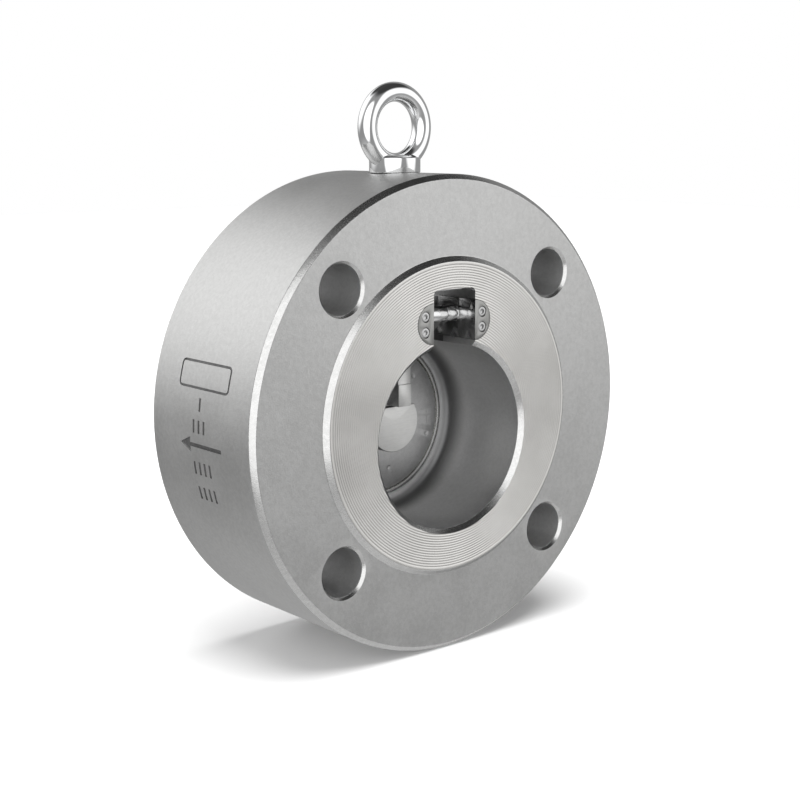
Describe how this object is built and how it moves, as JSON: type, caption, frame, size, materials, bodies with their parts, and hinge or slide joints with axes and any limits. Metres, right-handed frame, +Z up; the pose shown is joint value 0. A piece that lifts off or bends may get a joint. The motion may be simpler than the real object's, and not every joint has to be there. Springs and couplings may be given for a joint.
{
  "type": "wafer check valve",
  "caption": "Single-disc swing check valve with a flange-wide wafer body, bolt holes through it, a sprung hinged disc and a lifting eye bolt.",
  "frame": {"origin": "on the pipe axis, midway between the two raised faces", "axes": "+Y along the pipe axis from the outlet face to the inlet face, +Z up to the lifting eye bolt, +X to the right seen from the outlet"},
  "size_m": [0.19, 0.073, 0.2255],
  "materials": {
    "blasted_steel": "bead-blasted forged stainless steel, fine grain",
    "cast_steel": "dull blasted stainless steel",
    "machined_steel": "turned stainless steel with fine tool marks",
    "polished_steel": "ground and polished stainless steel",
    "screw_steel": "small stainless screws",
    "spring_steel": "drawn spring wire",
    "bronze": "plain bearing bronze",
    "seal_rubber": "matt black fluorocarbon rubber",
    "chromed_steel": "mirror bright plated steel"
  },
  "bodies": {
    "valve_body": {"body": "blasted_steel", "seat_ring": "machined_steel", "hinge_pin": "polished_steel", "pin_spacer": "polished_steel", "spring_washer": "machined_steel", "closing_spring": "spring_steel", "seat_seal": "seal_rubber", "eye_bolt": "chromed_steel", "pin_block_left": "polished_steel", "pin_keeper_left": "machined_steel", "keeper_screw_left_lower": "screw_steel", "keeper_screw_left_upper": "screw_steel", "pin_block_right": "polished_steel", "pin_keeper_right": "machined_steel", "keeper_screw_right_lower": "screw_steel", "keeper_screw_right_upper": "screw_steel"},
    "swing_arm": {"hinge_arm": "machined_steel", "arm_bush": "bronze", "disc_washer": "machined_steel", "disc_nut": "machined_steel", "nut_lock_pin": "polished_steel"},
    "disc": {"disc": "cast_steel"}
  },
  "joints": [
    {"name": "disc_swing", "type": "hinge", "parent": "valve_body", "child": "swing_arm", "pos_m": [0, -0.0235, 0.0396], "axis": [-1, 0, 0], "range_deg": [0, 75], "stiffness_Nm_per_rad": 0.1, "springref_deg": -74.48, "deforming": ["closing_spring"]},
    {"name": "disc_spin", "type": "hinge", "parent": "swing_arm", "child": "disc", "pos_m": [0, 0.0124, -0.0074], "axis": [0, 1, 0], "continuous": true}
  ]
}
